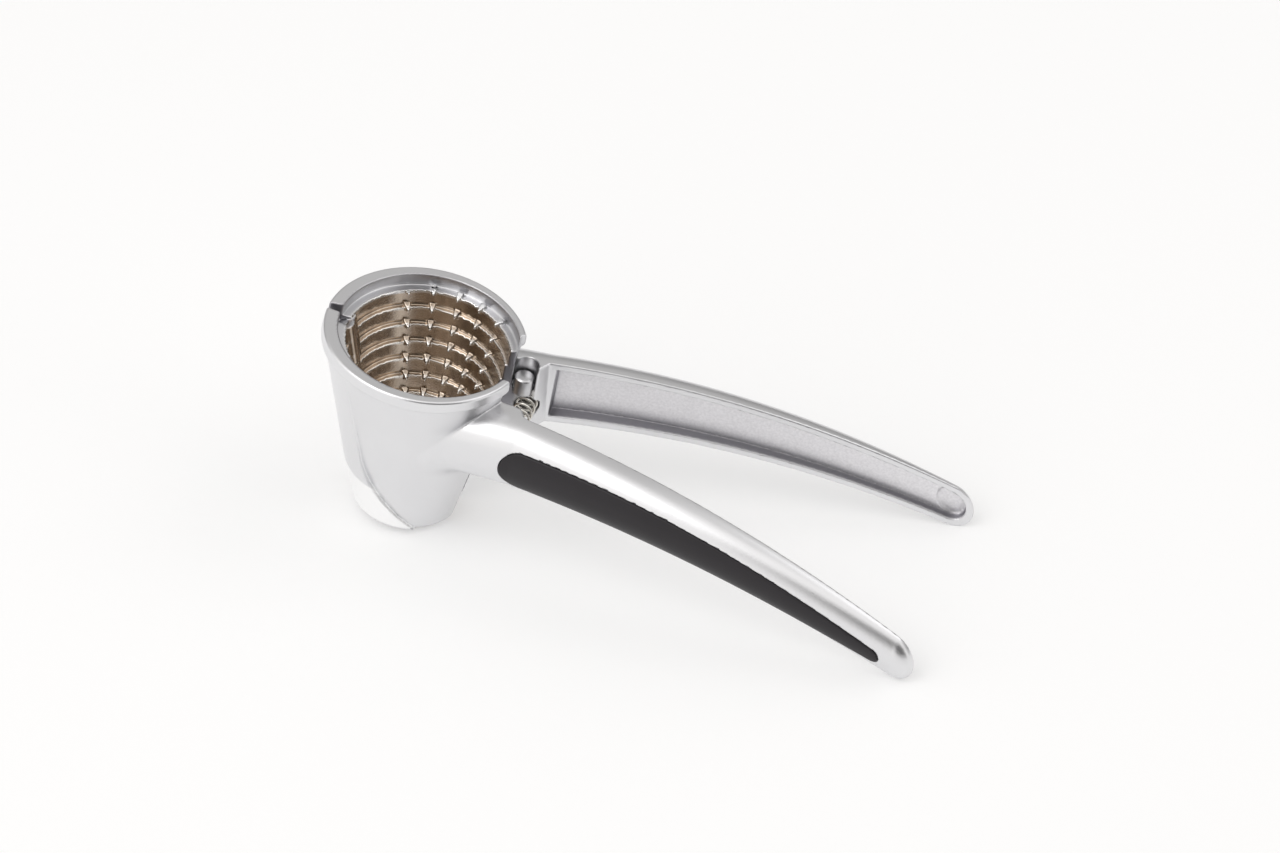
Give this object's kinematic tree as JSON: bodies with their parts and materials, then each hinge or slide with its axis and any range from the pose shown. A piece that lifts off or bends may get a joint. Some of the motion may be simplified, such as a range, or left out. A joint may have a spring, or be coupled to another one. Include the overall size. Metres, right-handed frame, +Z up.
{
  "type": "funnel nutcracker",
  "caption": "Hand nutcracker: two spring-opened levers, each half of a stepped, toothed funnel with a drooping handle, hinged at the funnel's far side.",
  "frame": {"origin": "centre of the bounding box in plan, at the table that the tool rests on", "axes": "+X from the funnel towards the handle tips, +Y from the front lever towards the back lever, +Z up; the funnel leans 8.2 degrees towards the handles, as it stands on its foot and the two tips"},
  "size_m": [0.1877, 0.0778, 0.0679],
  "materials": {
    "satin_chrome": "satin",
    "grip_black": "satin soft-touch",
    "pin_steel": "turned",
    "spring_steel": "bright wire"
  },
  "bodies": {
    "back_lever": {"back_jaw": "satin_chrome", "back_handle": "satin_chrome", "back_grip": "grip_black", "hinge_pin": "pin_steel", "stop_pin": "pin_steel", "return_spring": "spring_steel"},
    "front_lever": {"front_jaw": "satin_chrome", "front_handle": "satin_chrome", "front_grip": "grip_black"}
  },
  "joints": [
    {"name": "lever_squeeze", "type": "hinge", "parent": "back_lever", "child": "front_lever", "pos_m": [-0.08916, 0, 0.06236], "axis": [-0.1118, 0, 0.9937], "range_deg": [0, 15], "stiffness_Nm_per_rad": 0.6, "springref_deg": -14.32, "deforming": ["return_spring"]}
  ]
}
